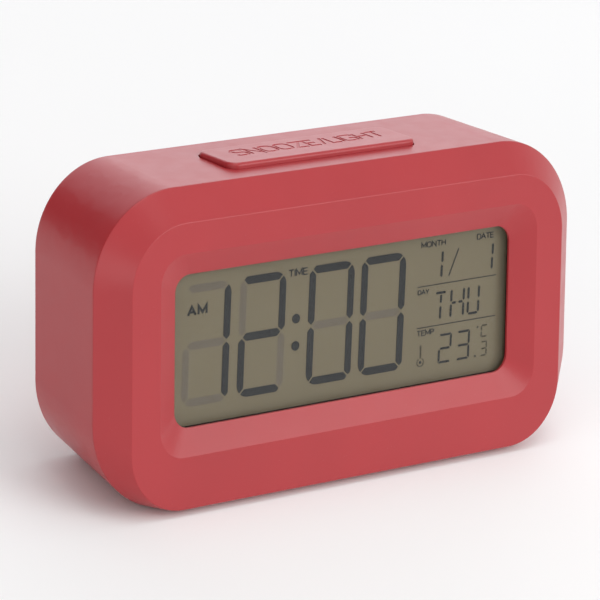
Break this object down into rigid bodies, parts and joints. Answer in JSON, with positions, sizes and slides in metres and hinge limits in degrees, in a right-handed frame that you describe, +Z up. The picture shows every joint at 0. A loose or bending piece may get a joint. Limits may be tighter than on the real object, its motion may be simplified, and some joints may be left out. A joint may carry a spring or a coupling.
{
  "type": "alarm clock",
  "caption": "Small battery alarm clock leaning back on its flat underside, with a recessed segment display, a snooze bar on top, and keys, a slide switch and a battery door behind.",
  "frame": {"origin": "middle of the clock's footprint box, on the surface it stands on", "axes": "+X to the right as seen from the front, +Y towards the back, +Z up"},
  "size_m": [0.135, 0.0494, 0.07],
  "materials": {
    "case_plastic": "satin moulded ABS, red",
    "bar_plastic": "satin moulded ABS, red",
    "key_plastic": "satin moulded ABS, red",
    "display_glass": "clear float glass",
    "display_film": "grey-green polarising film",
    "liquid_crystal": "dark segments between the glasses",
    "light_guide": "clear acrylic",
    "white_plastic": "white moulded plastic",
    "zebra_rubber": "striped conductive silicone",
    "laminate": "glass-epoxy board with solder mask",
    "black_resin": "glossy black epoxy",
    "tin_plate": "tinned steel",
    "black_plastic": "black moulded plastic",
    "ceramic": "sintered ceramic and small chips",
    "capacitor_sleeve": "sleeved aluminium can",
    "plunger_plastic": "black acetal",
    "screw_steel": "zinc plated steel",
    "brass_plate": "rolled brass",
    "spring_steel": "nickel plated spring steel",
    "cell_jacket": "plain printed jacket with bright ends",
    "red_sheath": "red PVC insulation",
    "black_sheath": "black PVC insulation",
    "grey_sheath": "grey PVC insulation",
    "sleeve_plastic": "light emitting diode body"
  },
  "bodies": {
    "case": {"front_bezel": "case_plastic", "rear_housing": "case_plastic", "snooze_switch": "black_plastic", "front_polarizer": "display_film", "front_glass": "display_glass", "liquid_crystal": "liquid_crystal", "rear_glass": "display_glass", "rear_polarizer": "display_film", "light_guide": "light_guide", "reflector_sheet": "white_plastic", "zebra_strip": "zebra_rubber", "display_holder": "white_plastic", "backlight_leds": "sleeve_plastic", "main_board": "laminate", "key_board": "laminate", "case_screws": "screw_steel", "board_screws": "screw_steel", "key_board_screws": "screw_steel", "driver_chip": "black_resin", "watch_crystal": "tin_plate", "capacitor": "capacitor_sleeve", "chip_components": "ceramic", "sounder_transistor": "black_plastic", "thermistor": "black_resin", "key_switches": "black_plastic", "alarm_switch": "tin_plate", "sounder_plate": "brass_plate", "sounder_ceramic": "ceramic", "upper_cell": "cell_jacket", "middle_cell": "cell_jacket", "lower_cell": "cell_jacket", "positive_contact": "spring_steel", "negative_contact": "spring_steel", "upper_link_contact": "spring_steel", "lower_link_contact": "spring_steel", "positive_lead": "red_sheath", "negative_lead": "black_sheath", "sounder_leads": "red_sheath", "key_cable": "grey_sheath"},
    "snooze": {"snooze_bar": "bar_plastic", "snooze_plunger": "plunger_plastic"},
    "mode_button": {"mode_key": "key_plastic", "mode_plunger": "plunger_plastic"},
    "set_button": {"set_key": "key_plastic", "set_plunger": "plunger_plastic"},
    "up_button": {"up_key": "key_plastic", "up_plunger": "plunger_plastic"},
    "down_button": {"down_key": "key_plastic", "down_plunger": "plunger_plastic"},
    "alarm_slider": {"alarm_knob": "key_plastic", "switch_lever": "black_plastic"},
    "door": {"battery_door": "case_plastic"}
  },
  "joints": [
    {"name": "snooze_press", "type": "slide", "parent": "case", "child": "snooze", "axis": [0, -0.2317, -0.9728], "range_m": [0, 0.0008], "stiffness_N_per_m": 2500},
    {"name": "mode_press", "type": "slide", "parent": "case", "child": "mode_button", "axis": [0, -0.9728, 0.2317], "range_m": [0, 0.0005], "stiffness_N_per_m": 2000},
    {"name": "set_press", "type": "slide", "parent": "case", "child": "set_button", "axis": [0, -0.9728, 0.2317], "range_m": [0, 0.0005], "stiffness_N_per_m": 2000},
    {"name": "up_press", "type": "slide", "parent": "case", "child": "up_button", "axis": [0, -0.9728, 0.2317], "range_m": [0, 0.0005], "stiffness_N_per_m": 2000},
    {"name": "down_press", "type": "slide", "parent": "case", "child": "down_button", "axis": [0, -0.9728, 0.2317], "range_m": [0, 0.0005], "stiffness_N_per_m": 2000},
    {"name": "alarm_slide", "type": "slide", "parent": "case", "child": "alarm_slider", "axis": [1, 0, 0], "range_m": [0, 0.003]},
    {"name": "door_swing", "type": "hinge", "parent": "case", "child": "door", "pos_m": [0.00125, 0.0099, 0.00338], "axis": [-1, 0, 0], "range_deg": [0, 60]}
  ]
}
